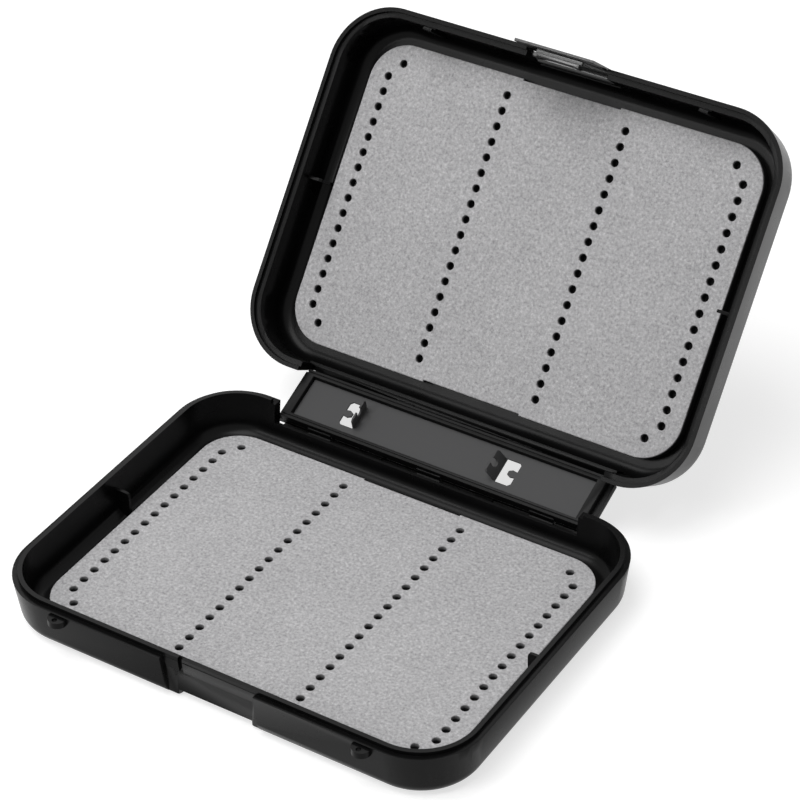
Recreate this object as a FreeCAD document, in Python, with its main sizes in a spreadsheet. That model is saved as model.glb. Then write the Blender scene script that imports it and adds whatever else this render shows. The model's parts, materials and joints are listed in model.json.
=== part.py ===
import FreeCAD, Part
import Sketcher

import math
import os
import sys

# Fly box: two trays joined by a double hinge, foam pads with rows of hook holes, and a snap latch.
# The frame: origin at the centre of the base's underside, X along the hinge, Y to the hinge, Z up.
# The stored pose is the open one: the base lies flat, the spine leans back and the lid leans open.

SIZES = [
    # Tray outline, measured at the parting line
    ("shell_half_length", 77.45, "half of the box's length"),
    ("shell_half_width", 58.0, "half of the box's width"),
    ("shell_corner_radius", 20.0, "outer plan radius of the corners"),
    ("draft_inset", 1.9, "how far the outer walls lean in at the bottom"),
    ("bottom_edge_radius", 5.0, "round of the outer bottom edge"),
    ("rim_wall", 3.05, "wall thickness at the rim"),
    ("foot_radius", 4.0, "round at the foot of the inner wall"),
    # Base tray
    ("base_rim_height", 15.3, "shoulder of the base above its underside"),
    ("lid_wall", 3.0, "wall thickness of the lid at its rim"),
    ("tongue_height", 1.3, "tongue of the base above its shoulder"),
    ("tongue_width", 1.4, "thickness of the tongue"),
    ("base_floor", 3.0, "floor of the base"),
    # Lid tray
    ("lid_rim_height", 16.8, "skirt of the lid above its outer face"),
    ("lid_floor", 1.4, "floor of the lid"),
    ("lid_inner_draft", 0.3, "how far the lid's inner walls lean in at the floor"),
    ("skirt_clearance", 0.3, "gap between tongue and skirt"),
    ("parting_gap", 0.1, "gap between the closed rims"),
    # Foam pads
    ("adhesive_thickness", 0.2, "adhesive sheet under each pad"),
    ("base_pad_thickness", 2.2, "foam in the base"),
    ("lid_pad_thickness", 3.8, "foam in the lid"),
    ("pad_end_margin", 9.3, "pad's ends inside the rim's outer face"),
    ("pad_side_margin", 9.15, "pad's long edges inside the rim's outer face"),
    ("pad_corner_radius", 12.5, "plan radius of the pad's corners"),
    ("pad_notch_depth", 0.55, "shallow step in the pad's long edges"),
    ("pad_notch_half_length", 17.0, "half of that step's length"),
    ("hole_diameter", 2.5, "diameter of a hole"),
    ("hole_margin", 6.35, "outer rows and end holes inside the pad's edges"),
    ("end_hole_shift", 3.83, "end holes of the outer rows, moved inwards"),
    ("holes_in_row", 18, "holes in one row"),
    # Double hinge
    ("hinge_axis_out", 0.8, "hinge axes beyond the rim's outer face"),
    ("hinge_axis_height", 7.65, "hinge axes above each tray's outer face"),
    ("spine_open_angle", 67.7, "lean of the open spine from upright"),
    ("lid_open_angle", 60.8, "opening of the lid on the spine"),
    ("pin_diameter", 1.2, "steel hinge pins"),
    ("pin_end_in", 0.7, "pin ends inside the spine's ends"),
    ("running_clearance", 0.06, "radial clearance of a turning fit"),
    ("snug_clearance", 0.02, "radial clearance of a still fit"),
    ("spine_end_gap", 0.4, "spine's ends to the cut walls"),
    ("spine_overhang", 0.6, "spine beyond each hinge axis"),
    ("flange_reach", 1.55, "flange at the spine's ends, over the outside of the cut walls"),
    ("flange_front", 0.7, "flange's inner face from the plane of the axes"),
    ("spine_front", 3.3, "spine's inner face from the plane of the axes"),
    ("spine_back", 2.0, "spine's outer face from the plane of the axes"),
    ("spine_edge_radius", 0.8, "round of the spine's outer edges"),
    ("panel_end_border", 2.6, "frame at both ends of the recess"),
    ("panel_border", 1.9, "frame above and below the recess"),
    ("panel_depth", 1.7, "plate's face below the spine's frame"),
    ("spine_groove_width", 0.4, "groove along the spine's frame"),
    ("spine_groove_depth", 0.35, "depth of that groove"),
    ("window_margin", 0.4, "spine's windows beyond the plate's slots"),
    ("window_spread", 2.0, "spine's windows wider to the left and towards the lid"),
    ("knuckle_radius", 1.15, "hinge knuckles of the trays"),
    ("knuckle_length", 8.0, "length of a knuckle"),
    ("knuckle_end_offset", 13.7, "outer knuckles inside the spine's ends"),
    ("knuckle_gap", 0.3, "gap between a knuckle and the spine"),
    ("web_root_in", 1.5, "webs and stops start this far inside the rim's outer face"),
    ("web_foot_width", 0.5, "flat at a web's lower end"),
    ("web_low_height", 4.6, "lower end of a knuckle's web"),
    ("web_top_height", 6.0, "upper end of a knuckle's web on the wall"),
    ("shelf_reach", 2.2, "shelf under the spine's edge, beyond the rim's outer face"),
    ("shelf_gap", 0.35, "shelf below the spine's outer face"),
    ("shelf_edge", 0.5, "thickness of the shelf at its edge"),
    ("shelf_foot_height", 3.4, "lower end of the shelf on the wall"),
    ("stop_gap", 0.05, "gap at the opening stops"),
    ("stop_length", 6.0, "length of an opening stop"),
    ("opening_end_margin", 24.0, "cut in the hinge walls ends inside the rim's outer face"),
    ("tongue_end_gap", 1.5, "tongue ends further out than the shoulder"),
    ("lip_height", 8.8, "lip left along the cut wall"),
    ("lip_outer_in", 2.8, "lip's outer face inside the rim's outer face"),
    ("lip_width", 1.0, "thickness of that lip"),
    ("ledge_height", 6.4, "ledge behind the lip"),
    # Leaf clips
    ("plate_thickness", 0.6, "clip plate in the spine"),
    ("plate_clearance", 0.1, "clip plate to the recess's sides"),
    ("clip_middle", -4.65, "middle between the two clips"),
    ("clip_spacing", 50.7, "bend lines of the clips, apart"),
    ("clip_height", 8.2, "clip along the spine's height"),
    ("clip_reach", 5.0, "clip from its bend line to its tips"),
    ("clip_lean_right", 25.0, "right clip leans inwards from square"),
    ("clip_lean_left", 9.0, "left clip leans inwards from square"),
    ("clip_mouth_radius", 1.25, "round seat in a clip"),
    ("clip_mouth_neck", 1.0, "half of the mouth's width"),
    ("clip_seat_depth", 1.5, "seat's centre from the tips"),
    ("slot_gap", 0.15, "slot beyond the clip's own outline"),
    ("clip_corner", 0.8, "bevel of a clip's corners"),
    # Ribs, tabs and eyelets
    ("rib_thickness", 1.0, "ribs in the middle of the short walls"),
    ("rib_tip_in", 8.65, "rib tips inside the rim's outer face"),
    ("rib_height", 12.0, "rib tops above the outer face"),
    ("rib_corner", 1.2, "round of a rib's corner"),
    ("tab_in", 29.95, "locating tabs inside the rim's outer face"),
    ("tab_length", 3.0, "length of a locating tab"),
    ("tab_thickness", 1.05, "thickness of a locating tab"),
    ("tab_rise", 1.0, "locating tab above the skirt"),
    ("tab_clearance", 0.3, "locating tab to the base's tongue"),
    ("tab_root", 6.0, "locating tab's root on the wall"),
    ("eyelet_in", 26.45, "lanyard eyelets inside the rim's outer face"),
    ("eyelet_radius", 2.9, "plan radius of an eyelet"),
    ("eyelet_top", 14.6, "top of an eyelet"),
    ("eyelet_thickness", 2.0, "thickness of an eyelet"),
    ("eyelet_hole_radius", 0.8, "radius of an eyelet's hole"),
    ("eyelet_hole_out", 1.4, "eyelet's hole beyond the wall"),
    # Latch
    ("latch_half_length", 13.5, "half of the latch's length along the wall"),
    ("latch_thickness", 1.0, "thickness of the latch plate"),
    ("latch_tip_height", 27.4, "latch tip above the lid's outer face"),
    ("latch_axis_height", 6.5, "latch pin above the lid's outer face"),
    ("latch_axis_in", 2.05, "latch pin inside the rim's outer face"),
    ("latch_barrel_radius", 1.3, "barrel of the latch"),
    ("latch_pin_diameter", 1.2, "steel latch pin"),
    ("latch_pin_reach", 2.5, "latch pin into each side of the lid"),
    ("latch_side_gap", 0.4, "latch to the sides of its window"),
    ("latch_out", 0.3, "latch plate beyond the rim's outer face"),
    ("window_sill", 3.8, "lower edge of the latch window above the lid's outer face"),
    ("hook_half_length", 7.2, "half of the hook's length"),
    ("hook_inner_in", 3.0, "hook bar's inner face inside the rim's outer face"),
    ("hook_thickness", 1.2, "thickness of the hook bar"),
    ("hook_height", 3.0, "hook bar along the latch"),
    ("hook_web", 1.3, "web between the latch plate and the hook bar"),
    ("hook_gap", 0.15, "play of the hook under the catch"),
    ("hook_foot_length", 1.4, "feet at the hook's ends"),
    ("hook_foot_offset", 7.1, "feet from the middle"),
    ("hook_foot_reach", 0.25, "feet inwards from the hook"),
    ("catch_half_length", 9.0, "half of the catch's length"),
    ("catch_lower_edge", 11.45, "lower edge of the catch above the underside"),
    ("recess_half_length", 15.6, "half of the latch recess in the base"),
    ("recess_depth", 1.5, "latch recess at the rim"),
    ("undercut_in", 3.55, "back of the undercut inside the rim's outer face"),
    ("undercut_end_slope", 3.2, "length of the slanted ends of the deep recess below the catch"),
    ("scoop_height", 2.5, "finger scoop at the foot of the deep recess"),
    ("scoop_reach", 2.5, "how far the scoop runs in under the wall"),
    ("catch_groove_width", 1.4, "groove at the catch's left end"),
    ("catch_groove_depth", 1.2, "depth of that groove"),
    ("boss_half_length", 17.0, "half of the boss behind the undercut"),
    ("boss_in", 4.8, "boss's inner face inside the rim's outer face"),
    ("boss_height", 14.4, "top of that boss"),
    ("overrun", 2.0, "cutters beyond what they cut"),
]

PARTS_DIR = "parts"


class Length:
    """A number with the sheet expression that gives it, so that sums stay bound to the sheet."""

    def __init__(self, value, text):
        self.value = value
        self.text = text

    @staticmethod
    def of(item):
        return item if isinstance(item, Length) else Length(float(item), repr(item))

    def __add__(self, other):
        other = Length.of(other)
        return Length(self.value + other.value, f"({self.text} + {other.text})")

    def __radd__(self, other):
        return Length.of(other) + self

    def __sub__(self, other):
        other = Length.of(other)
        return Length(self.value - other.value, f"({self.text} - {other.text})")

    def __rsub__(self, other):
        return Length.of(other) - self

    def __mul__(self, other):
        other = Length.of(other)
        return Length(self.value * other.value, f"({self.text} * {other.text})")

    def __rmul__(self, other):
        return Length.of(other) * self

    def __truediv__(self, other):
        other = Length.of(other)
        return Length(self.value / other.value, f"({self.text} / {other.text})")

    def __rtruediv__(self, other):
        return Length.of(other) / self

    def __neg__(self):
        return Length(-self.value, f"(-1 * {self.text})")


def sine(angle):
    return Length(math.sin(math.radians(angle.value)), f"sin({angle.text} * 1 deg)")


def cosine(angle):
    return Length(math.cos(math.radians(angle.value)), f"cos({angle.text} * 1 deg)")


def arctangent(slope):
    return Length(math.degrees(math.atan(slope.value)), f"atan({slope.text})")


doc = FreeCAD.newDocument("fly_box")
sheet = doc.addObject("Spreadsheet::Sheet", "Sizes")
for row, (alias, number, words) in enumerate(SIZES, start=1):
    sheet.set(f"A{row}", alias)
    sheet.set(f"B{row}", str(number))
    sheet.set(f"C{row}", words)
    sheet.setAlias(f"B{row}", alias)
doc.recompute()


class Sheet:
    """Reads a size from the sheet by its name."""

    def __getattr__(self, name):
        return Length(float(sheet.get(name)), f"Sizes.{name}")


size = Sheet()
ZERO = Length(0.0, "0")


def bind(target, path, length):
    """Bind one property of an object to a length."""
    target.setExpression(path, length.text)


def new_body(label):
    body = doc.addObject("PartDesign::Body", label)
    body.Label = label
    return body


def origin_plane(body, role):
    for feature in body.Origin.OriginFeatures:
        if feature.Role == role:
            return feature
    raise RuntimeError(f"{body.Label} has no {role}")


def new_sketch(body, name, role="XY_Plane", offset=ZERO):
    """A sketch on one of the body's origin planes, moved by offset along the plane's normal."""
    sketch = body.newObject("Sketcher::SketchObject", name)
    sketch.AttachmentSupport = [(origin_plane(body, role), "")]
    sketch.MapMode = "FlatFace"
    bind(sketch, ".AttachmentOffset.Base.z", offset)
    return sketch


def pin_point(sketch, geometry, end, x, y, tag):
    """Hold one point of a sketch at named distances from the sketch's origin."""
    across = sketch.addConstraint(Sketcher.Constraint("DistanceX", -1, 1, geometry, end, x.value))
    sketch.renameConstraint(across, f"{tag}_x")
    up = sketch.addConstraint(Sketcher.Constraint("DistanceY", -1, 1, geometry, end, y.value))
    sketch.renameConstraint(up, f"{tag}_y")
    bind(sketch, f"Constraints.{tag}_x", x)
    bind(sketch, f"Constraints.{tag}_y", y)


def polygon(sketch, points, tag="p"):
    """A closed outline of straight lines through points given as pairs of lengths."""
    vectors = [FreeCAD.Vector(x.value, y.value, 0) for x, y in points]
    first = sketch.GeometryCount
    count = len(points)
    for k in range(count):
        sketch.addGeometry(Part.LineSegment(vectors[k], vectors[(k + 1) % count]), False)
    for k in range(count):
        following = first + (k + 1) % count
        sketch.addConstraint(Sketcher.Constraint("Coincident", first + k, 2, following, 1))
    for k, (x, y) in enumerate(points):
        pin_point(sketch, first + k, 1, x, y, f"{tag}{k}")


def rectangle(sketch, low_x, low_y, high_x, high_y, tag="r"):
    corners = [(low_x, low_y), (high_x, low_y), (high_x, high_y), (low_x, high_y)]
    polygon(sketch, corners, tag)


def circle(sketch, x, y, radius, tag="c"):
    centre = FreeCAD.Vector(x.value, y.value, 0)
    index = sketch.addGeometry(Part.Circle(centre, FreeCAD.Vector(0, 0, 1), radius.value), False)
    pin_point(sketch, index, 3, x, y, tag)
    held = sketch.addConstraint(Sketcher.Constraint("Radius", index, radius.value))
    sketch.renameConstraint(held, f"{tag}_radius")
    bind(sketch, f"Constraints.{tag}_radius", radius)


def rounded_rectangle(sketch, half_length, half_width, radius, tag="o"):
    """A centred rectangle with round corners: four lines and four arcs."""
    a, b, r = half_length.value, half_width.value, radius.value
    first = sketch.GeometryCount
    lines = [
        ((-a + r, -b), (a - r, -b)),
        ((a, -b + r), (a, b - r)),
        ((a - r, b), (-a + r, b)),
        ((-a, b - r), (-a, -b + r)),
    ]
    centres = [(a - r, -b + r), (a - r, b - r), (-a + r, b - r), (-a + r, -b + r)]
    for k in range(4):
        start, finish = (FreeCAD.Vector(x, y, 0) for x, y in lines[k])
        sketch.addGeometry(Part.LineSegment(start, finish), False)
        ring = Part.Circle(FreeCAD.Vector(*centres[k], 0), FreeCAD.Vector(0, 0, 1), r)
        low = math.radians(-90 + 90 * k)
        sketch.addGeometry(Part.ArcOfCircle(ring, low, low + math.pi / 2), False)
    for k in range(4):
        line, arc, after = first + 2 * k, first + 2 * k + 1, first + (2 * k + 2) % 8
        sketch.addConstraint(Sketcher.Constraint("Coincident", line, 2, arc, 1))
        sketch.addConstraint(Sketcher.Constraint("Coincident", arc, 2, after, 1))
    x_centre, y_centre = half_length - radius, half_width - radius
    signs = [(1, -1), (1, 1), (-1, 1), (-1, -1)]
    for k, (sx, sy) in enumerate(signs):
        arc = first + 2 * k + 1
        x = x_centre if sx > 0 else -x_centre
        y = y_centre if sy > 0 else -y_centre
        pin_point(sketch, arc, 3, x, y, f"{tag}{k}")
        held = sketch.addConstraint(Sketcher.Constraint("Radius", arc, r))
        sketch.renameConstraint(held, f"{tag}{k}_radius")
        bind(sketch, f"Constraints.{tag}{k}_radius", radius)
        level, upright = (1, 2) if k % 2 == 0 else (2, 1)
        sketch.addConstraint(Sketcher.Constraint("Vertical", arc, 3, arc, level))
        sketch.addConstraint(Sketcher.Constraint("Horizontal", arc, 3, arc, upright))


def checked(feature):
    """Recompute, and stop at the first feature that failed."""
    doc.recompute()
    for item in doc.Objects:
        if "Invalid" in item.State or "Error" in item.State:
            raise RuntimeError(f"{item.Name} failed before {feature.Name}: {item.getStatusString()}")
    return feature


def pad(body, name, sketch, length, reverse=False, midplane=False):
    feature = body.newObject("PartDesign::Pad", name)
    feature.Profile = sketch
    feature.Reversed = reverse
    feature.Midplane = midplane
    bind(feature, "Length", length)
    return checked(feature)


def pocket(body, name, sketch, length=None, reverse=False, midplane=False):
    """Cut a sketch out of the body and check that material really went."""
    doc.recompute()
    before = body.Shape.Volume
    feature = body.newObject("PartDesign::Pocket", name)
    feature.Profile = sketch
    feature.Reversed = reverse
    feature.Midplane = midplane
    if length is None:
        feature.Type = "ThroughAll"
    else:
        bind(feature, "Length", length)
    checked(feature)
    if not body.Shape.Volume < before:
        raise RuntimeError(f"{name} cuts nothing")
    return feature


def fillet_edges(body, name, radius, chosen):
    """Round the edges of the body's tip that the test picks."""
    doc.recompute()
    tip = body.Tip
    names = [f"Edge{k + 1}" for k, edge in enumerate(tip.Shape.Edges) if chosen(edge)]
    feature = body.newObject("PartDesign::Fillet", name)
    feature.Base = (tip, names)
    bind(feature, "Radius", radius)
    return checked(feature)


def lies_at(edge, height):
    box = edge.BoundBox
    return abs(box.ZMin - height) < 1e-4 and abs(box.ZMax - height) < 1e-4


# Heights and places that several parts share
adhesive_top_base = size.base_floor + size.adhesive_thickness
adhesive_top_lid = size.lid_floor + size.adhesive_thickness
hinge_axis_y = size.shell_half_width + size.hinge_axis_out
closed_thickness = size.base_rim_height + size.lid_rim_height + size.parting_gap
axis_distance = closed_thickness - size.hinge_axis_height * 2
shoulder_width = size.rim_wall - size.tongue_width
skirt_width = shoulder_width - size.skirt_clearance
pin_radius = size.pin_diameter / 2
latch_pin_radius = size.latch_pin_diameter / 2
latch_axis_y = size.shell_half_width - size.latch_axis_in
bore_radius_turning = pin_radius + size.running_clearance
bore_radius_still = pin_radius + size.snug_clearance
lip_outer_y = size.shell_half_width - size.lip_outer_in
web_root_y = size.shell_half_width - size.web_root_in
opening_half_length = size.shell_half_length - size.opening_end_margin
spine_half_length = opening_half_length - size.spine_end_gap
flange_half_length = opening_half_length + size.flange_reach
panel_half_length = spine_half_length - size.panel_end_border
knuckle_offset = spine_half_length - size.knuckle_end_offset
pad_half_length = size.shell_half_length - size.pad_end_margin
pad_half_width = size.shell_half_width - size.pad_side_margin


def tray_outline(body, name, inset, height):
    """The tray's plan outline at one height, drawn in from the rim by inset."""
    sketch = new_sketch(body, name, offset=height)
    half_length, half_width = size.shell_half_length - inset, size.shell_half_width - inset
    rounded_rectangle(sketch, half_length, half_width, size.shell_corner_radius - inset)
    return sketch


def tray(body, floor, rim_height, wall, inner_draft):
    """The drafted outer form with its bottom edge rounded, hollowed down to the floor."""
    lean = size.draft_inset / rim_height
    outside = tray_outline(body, "outline_rim", ZERO, rim_height)
    form = pad(body, "outer_form", outside, rim_height, reverse=True)
    bind(form, "TaperAngle", -arctangent(lean))
    checked(form)
    fillet_edges(body, "bottom_round", size.bottom_edge_radius, lambda edge: lies_at(edge, 0))
    # The hollow's wall leans by inner_draft over the rim's height, and its cutter starts above the rim
    lean = inner_draft / rim_height
    inside = tray_outline(body, "hollow_rim", wall - lean * size.overrun, rim_height + size.overrun)
    hollow = pocket(body, "hollow", inside, rim_height + size.overrun - floor)
    bind(hollow, "TaperAngle", -arctangent(lean))
    checked(hollow)
    floor_height = floor.value
    fillet_edges(body, "foot_round", size.foot_radius, lambda edge: lies_at(edge, floor_height))


def hinge_side(value, direction):
    """A distance towards the hinge: +Y on the base, -Y on the lid."""
    return value if direction > 0 else -value


def hinge_rectangle(sketch, half_length, low, high, direction):
    if direction > 0:
        rectangle(sketch, -half_length, low, half_length, high)
    else:
        rectangle(sketch, -half_length, -high, half_length, -low)


def hinge_cut(body, rim_height, direction):
    """Open the hinge wall for the spine: a lip along its foot and a lower ledge behind the lip."""
    low = size.shell_half_width - size.boss_in
    high = size.shell_half_width + size.overrun
    cut = new_sketch(body, "opening", offset=size.lip_height)
    hinge_rectangle(cut, opening_half_length, low, high, direction)
    pocket(body, "opening_cut", cut, rim_height + size.overrun, reverse=True)
    ledge = new_sketch(body, "ledge", offset=size.ledge_height)
    hinge_rectangle(ledge, opening_half_length, lip_outer_y, high, direction)
    pocket(body, "ledge_cut", ledge, rim_height + size.overrun, reverse=True)


def knuckles(body, direction, open_angle):
    """Knuckles with webs on the outside of the low wall, and the stops between them."""
    axis_y, axis_z = hinge_axis_y, size.hinge_axis_height
    across = size.knuckle_radius * cosine(Length(45.0, "45"))
    for k, offset in enumerate([-knuckle_offset, ZERO, knuckle_offset]):
        start = offset - size.knuckle_length / 2
        web = new_sketch(body, f"web_{k}", "YZ_Plane", start)
        points = [
            (web_root_y, size.web_low_height),
            (web_root_y + size.web_foot_width, size.web_low_height),
            (axis_y, axis_z - size.knuckle_radius),
            (axis_y, axis_z),
            (axis_y - across, axis_z - across),
            (web_root_y, size.web_top_height),
        ]
        polygon(web, [(hinge_side(y, direction), z) for y, z in points])
        pad(body, f"web_pad_{k}", web, size.knuckle_length)
        barrel = new_sketch(body, f"barrel_{k}", "YZ_Plane", start)
        circle(barrel, hinge_side(axis_y, direction), axis_z, size.knuckle_radius)
        pad(body, f"barrel_pad_{k}", barrel, size.knuckle_length)
    # A shelf under the swinging edge of the spine closes the view between the two
    shelf_top = axis_z - size.spine_back - size.shelf_gap
    shelf_y = size.shell_half_width + size.shelf_reach
    shelf = new_sketch(body, "shelf", "YZ_Plane")
    points = [
        (web_root_y, size.shelf_foot_height),
        (shelf_y, shelf_top - size.shelf_edge),
        (shelf_y, shelf_top),
        (web_root_y, shelf_top),
    ]
    polygon(shelf, [(hinge_side(y, direction), z) for y, z in points])
    pad(body, "shelf_pad", shelf, opening_half_length * 2, midplane=True)
    bore = new_sketch(body, "hinge_bore", "YZ_Plane")
    circle(bore, hinge_side(axis_y, direction), axis_z, bore_radius_turning)
    pocket(body, "hinge_bore_cut", bore, spine_half_length * 2, midplane=True)
    # A stop's tip meets the spine's edge face at both ends of the swing
    drop = size.spine_overhang + size.stop_gap
    tip_y = axis_y - drop * (1 - cosine(open_angle)) / sine(open_angle)
    tip_z = axis_z - drop
    fall = tip_z - size.web_top_height
    for k, offset in enumerate([-knuckle_offset / 2, knuckle_offset / 2]):
        stop = new_sketch(body, f"stop_{k}", "YZ_Plane", offset - size.stop_length / 2)
        points = [
            (web_root_y, size.web_low_height),
            (web_root_y + size.web_foot_width, size.web_low_height),
            (tip_y + fall * cosine(open_angle) / 2, size.web_top_height),
            (tip_y, tip_z),
            (web_root_y, tip_z),
        ]
        polygon(stop, [(hinge_side(y, direction), z) for y, z in points])
        pad(body, f"stop_pad_{k}", stop, size.stop_length)


def side_ribs(body, floor, wall):
    """A thin upright rib on the wall in the middle of each short side."""
    tip, corner = size.shell_half_length - size.rib_tip_in, size.rib_corner
    root = size.shell_half_length - size.draft_inset - wall / 2
    foot = floor - size.adhesive_thickness
    for name, sign in (("right", 1), ("left", -1)):
        rib = new_sketch(body, f"rib_{name}", "XZ_Plane", -size.rib_thickness / 2)
        points = [
            (root, foot),
            (root, size.rib_height),
            (tip + corner, size.rib_height),
            (tip + corner / 4, size.rib_height - corner / 4),
            (tip, size.rib_height - corner),
            (tip, foot),
        ]
        polygon(rib, [(x if sign > 0 else -x, z) for x, z in points])
        pad(body, f"rib_pad_{name}", rib, size.rib_thickness)


def make_base_shell():
    body = new_body("base_shell")
    tray(body, size.base_floor, size.base_rim_height, size.rim_wall, size.draft_inset)
    ring = tray_outline(body, "tongue", shoulder_width, size.base_rim_height)
    rounded_rectangle(
        ring, size.shell_half_length - size.rim_wall, size.shell_half_width - size.rim_wall,
        size.shell_corner_radius - size.rim_wall, "i",
    )
    pad(body, "tongue_pad", ring, size.tongue_height)
    side_ribs(body, size.base_floor, size.rim_wall)
    latch_boss(body)
    hinge_cut(body, size.base_rim_height, 1)
    gap = new_sketch(body, "tongue_gap", offset=size.base_rim_height)
    low, high = size.shell_half_width - size.boss_in, size.shell_half_width + size.overrun
    hinge_rectangle(gap, opening_half_length + size.tongue_end_gap, low, high, 1)
    pocket(body, "tongue_gap_cut", gap, size.tongue_height + size.overrun, reverse=True)
    knuckles(body, 1, size.spine_open_angle)
    eyelets(body)
    latch_recess(body)
    return body


def eyelets(body):
    """Half-round lanyard eyelets on the front wall."""
    eyelet_offset = size.shell_half_length - size.eyelet_in
    for name, offset in (("right", eyelet_offset), ("left", -eyelet_offset)):
        lug = new_sketch(body, f"eyelet_{name}", offset=size.eyelet_top - size.eyelet_thickness)
        circle(lug, offset, -size.shell_half_width, size.eyelet_radius)
        pad(body, f"eyelet_pad_{name}", lug, size.eyelet_thickness)
        hole = new_sketch(body, f"eyelet_hole_{name}", offset=size.eyelet_top + size.overrun)
        circle(hole, offset, -size.shell_half_width - size.eyelet_hole_out, size.eyelet_hole_radius)
        pocket(body, f"eyelet_hole_cut_{name}", hole, size.eyelet_thickness + size.overrun * 2)


def latch_boss(body):
    """A boss inside the front wall, which backs the undercut for the latch's hook."""
    boss = new_sketch(body, "latch_boss", offset=size.base_floor - size.adhesive_thickness)
    half = size.boss_half_length
    wall = -size.shell_half_width + size.rim_wall / 2 + size.draft_inset
    rectangle(boss, -half, wall, half, -size.shell_half_width + size.boss_in)
    pad(body, "latch_boss_pad", boss, size.boss_height - size.base_floor + size.adhesive_thickness)


def latch_recess(body):
    """A shallow recess for the latch; below the catch it is deep, with a finger scoop at its foot."""
    rim_y = -size.shell_half_width + size.recess_depth
    out_y = -size.shell_half_width - size.overrun
    top_z = size.base_rim_height + size.tongue_height / 2
    recess = new_sketch(body, "latch_recess", "YZ_Plane")
    polygon(recess, [(rim_y, top_z), (rim_y + size.draft_inset, ZERO), (out_y, ZERO), (out_y, top_z)])
    pocket(body, "latch_recess_cut", recess, size.recess_half_length * 2, midplane=True)
    half = size.recess_half_length
    deep_half = half - size.undercut_end_slope
    under_y = -size.shell_half_width + size.undercut_in
    under = new_sketch(body, "undercut", offset=size.catch_lower_edge)
    polygon(under, [
        (-half, out_y),
        (half, out_y),
        (half, rim_y),
        (deep_half, under_y),
        (-deep_half, under_y),
        (-half, rim_y),
    ])
    pocket(body, "undercut_cut", under, size.catch_lower_edge)
    scoop = new_sketch(body, "scoop", "YZ_Plane")
    polygon(scoop, [
        (out_y, ZERO),
        (under_y + size.scoop_reach, ZERO),
        (under_y, size.scoop_height),
        (out_y, size.scoop_height),
    ])
    pocket(body, "scoop_cut", scoop, deep_half * 2, midplane=True)
    groove = new_sketch(body, "catch_groove", offset=top_z + size.overrun)
    inner_x, outer_x = size.catch_half_length, size.catch_half_length + size.catch_groove_width
    rectangle(groove, -outer_x, out_y, -inner_x, rim_y + size.catch_groove_depth)
    pocket(body, "catch_groove_cut", groove, top_z + size.overrun - size.catch_lower_edge)


def make_lid_shell():
    body = new_body("lid_shell")
    tray(body, size.lid_floor, size.lid_rim_height, size.lid_wall, size.lid_inner_draft)
    skirt = tray_outline(body, "skirt", skirt_width, size.lid_rim_height + size.overrun)
    pocket(body, "skirt_cut", skirt, size.tongue_height + size.overrun)
    side_ribs(body, size.lid_floor, size.lid_wall)
    # The lid's wall is thinner at the lip's height, so the lip is built up on its inside
    lip = new_sketch(body, "lip", offset=size.lid_floor - size.adhesive_thickness)
    outer = size.shell_half_width - size.lid_wall + size.lid_inner_draft
    hinge_rectangle(lip, opening_half_length + size.lip_width, lip_outer_y - size.lip_width, outer, -1)
    pad(body, "lip_pad", lip, size.lip_height - size.lid_floor + size.adhesive_thickness)
    hinge_cut(body, size.lid_rim_height, -1)
    knuckles(body, -1, size.lid_open_angle)
    locating_tabs(body)
    latch_window(body)
    return body


def locating_tabs(body):
    """Upright tabs that guide the base's tongue when the lid closes."""
    ledge = size.lid_rim_height - size.tongue_height
    outer = size.shell_half_width - size.rim_wall - size.tab_clearance
    inner = outer - size.tab_thickness
    top = size.lid_rim_height + size.tab_rise
    wall = size.shell_half_width - size.lid_wall / 2
    bevel = size.tab_thickness / 2
    tab_offset = size.shell_half_length - size.tab_in
    for name, offset in (("right", tab_offset), ("left", -tab_offset)):
        tab = new_sketch(body, f"tab_{name}", "YZ_Plane", offset - size.tab_length / 2)
        polygon(tab, [
            (inner, size.tab_root),
            (wall, size.tab_root),
            (wall, ledge - size.tab_clearance),
            (outer, ledge - size.tab_clearance),
            (outer, top - bevel),
            (outer - bevel, top),
            (inner, top),
        ])
        pad(body, f"tab_pad_{name}", tab, size.tab_length)


def latch_window(body):
    """A window through the lid's front wall for the latch, with blind bores for its pin."""
    half = size.latch_half_length + size.latch_side_gap
    window = new_sketch(body, "latch_window", offset=size.window_sill)
    low, high = size.shell_half_width - size.boss_in, size.shell_half_width + size.overrun
    rectangle(window, -half, low, half, high)
    pocket(body, "latch_window_cut", window, size.lid_rim_height + size.overrun, reverse=True)
    bore = new_sketch(body, "latch_bore", "YZ_Plane")
    circle(bore, latch_axis_y, size.latch_axis_height, latch_pin_radius + size.snug_clearance)
    pocket(body, "latch_bore_cut", bore, (half + size.latch_pin_reach) * 2, midplane=True)


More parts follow.
